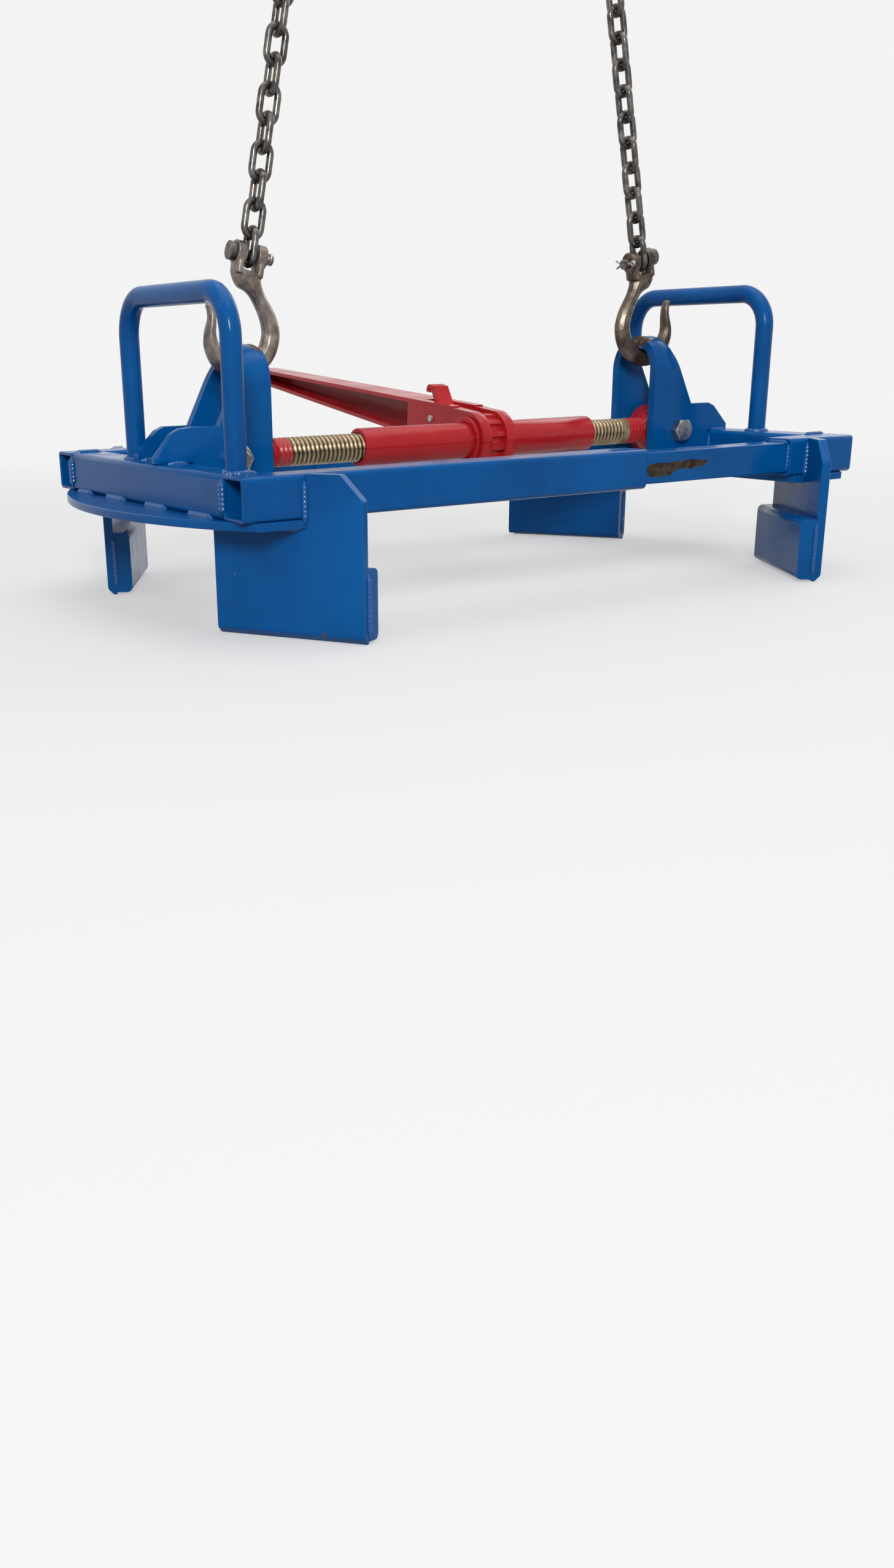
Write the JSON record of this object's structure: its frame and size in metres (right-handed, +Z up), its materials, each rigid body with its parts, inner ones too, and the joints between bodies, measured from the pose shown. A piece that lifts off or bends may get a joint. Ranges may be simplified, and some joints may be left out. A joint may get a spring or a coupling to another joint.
{
  "type": "drum lifter",
  "caption": "Telescoping below-hook drum lifter with angled gripping jaws, a ratchet binder that draws its carriages together, grab handles, and hooks with chain legs.",
  "frame": {"origin": "on the drum's axis at the underside of the base plates, the face that sits on the drum's rim", "axes": "+X along the rails toward the right carriage, +Y across the rails toward the ratchet handle's tip, +Z up toward the hooks"},
  "size_m": [0.7, 0.6363, 0.5381],
  "materials": {
    "blue_paint": "gloss",
    "red_paint": "gloss",
    "yellow_zinc": "satin",
    "zinc_plate": "satin",
    "forged_steel": "satin",
    "chain_steel": "satin"
  },
  "bodies": {
    "left_carriage": {"left_beam": "blue_paint", "left_outer_rail": "blue_paint", "left_stub_rail": "blue_paint", "left_inner_bar": "blue_paint", "left_base_plate": "blue_paint", "left_jaw_front": "blue_paint", "left_jaw_rear": "blue_paint", "left_pad_front": "blue_paint", "left_pad_rear": "blue_paint", "left_lug": "blue_paint", "left_grab_handle": "blue_paint", "left_lug_bolt": "zinc_plate", "left_lug_nut": "zinc_plate", "left_eye": "red_paint", "left_screw": "yellow_zinc"},
    "left_hook_body": {"left_hook": "forged_steel", "left_clevis_pin": "forged_steel"},
    "left_chain_leg": {"left_chain": "chain_steel", "left_end_link": "chain_steel"},
    "right_carriage": {"right_beam": "blue_paint", "right_outer_rail": "blue_paint", "right_stub_rail": "blue_paint", "right_inner_bar": "blue_paint", "right_base_plate": "blue_paint", "right_jaw_front": "blue_paint", "right_jaw_rear": "blue_paint", "right_pad_front": "blue_paint", "right_pad_rear": "blue_paint", "right_lug": "blue_paint", "right_grab_handle": "blue_paint", "right_lug_bolt": "zinc_plate", "right_lug_nut": "zinc_plate", "right_eye": "red_paint", "right_screw": "yellow_zinc"},
    "right_hook_body": {"right_hook": "forged_steel", "right_clevis_pin": "forged_steel"},
    "right_chain_leg": {"right_chain": "chain_steel", "right_end_link": "chain_steel"},
    "yoke_carrier": {"left_yoke_washer": "red_paint", "right_yoke_washer": "red_paint"},
    "barrel_body": {"barrel": "red_paint", "ratchet_gear": "red_paint"},
    "ratchet_lever": {"ratchet_handle": "red_paint", "pawl_pin": "zinc_plate"},
    "pawl_body": {"pawl": "red_paint"}
  },
  "joints": [
    {"name": "carriage_slide", "type": "slide", "parent": "left_carriage", "child": "right_carriage", "axis": [1, 0, 0], "range_m": [-0.05, 0.09]},
    {"name": "yoke_slide", "type": "slide", "parent": "left_carriage", "child": "yoke_carrier", "axis": [1, 0, 0], "range_m": [-0.025, 0.045]},
    {"name": "barrel_spin", "type": "hinge", "parent": "yoke_carrier", "child": "barrel_body", "pos_m": [0.028, 0, 0.0395], "axis": [1, 0, 0], "range_deg": [-2130, 3830]},
    {"name": "ratchet_swing", "type": "hinge", "parent": "yoke_carrier", "child": "ratchet_lever", "pos_m": [0.028, 0, 0.0395], "axis": [1, 0, 0], "range_deg": [0, 160]},
    {"name": "pawl_lift", "type": "hinge", "parent": "ratchet_lever", "child": "pawl_body", "pos_m": [0.028, 0.0568, 0.05701], "axis": [1, 0, 0], "range_deg": [-12, 0], "stiffness_Nm_per_rad": 0.05, "springref_deg": 8.59},
    {"name": "left_hook_swing", "type": "hinge", "parent": "left_carriage", "child": "left_hook_body", "pos_m": [-0.217, 0, 0.13493], "axis": [0, 1, 0], "range_deg": [-40, 6]},
    {"name": "left_chain_swing", "type": "hinge", "parent": "left_hook_body", "child": "left_chain_leg", "pos_m": [-0.20544, 0, 0.19177], "axis": [0.9799, 0, -0.1994], "range_deg": [-25, 25]},
    {"name": "right_hook_swing", "type": "hinge", "parent": "right_carriage", "child": "right_hook_body", "pos_m": [0.217, 0, 0.13493], "axis": [0, -1, 0], "range_deg": [-40, 6]},
    {"name": "right_chain_swing", "type": "hinge", "parent": "right_hook_body", "child": "right_chain_leg", "pos_m": [0.20544, 0, 0.19177], "axis": [-0.9799, 0, -0.1994], "range_deg": [-25, 25]}
  ],
  "couplings": [
    {"joint": "yoke_slide", "follows": "carriage_slide", "ratio": 0.5},
    {"joint": "barrel_spin", "follows": "carriage_slide", "rad_per_m": 742.11}
  ]
}
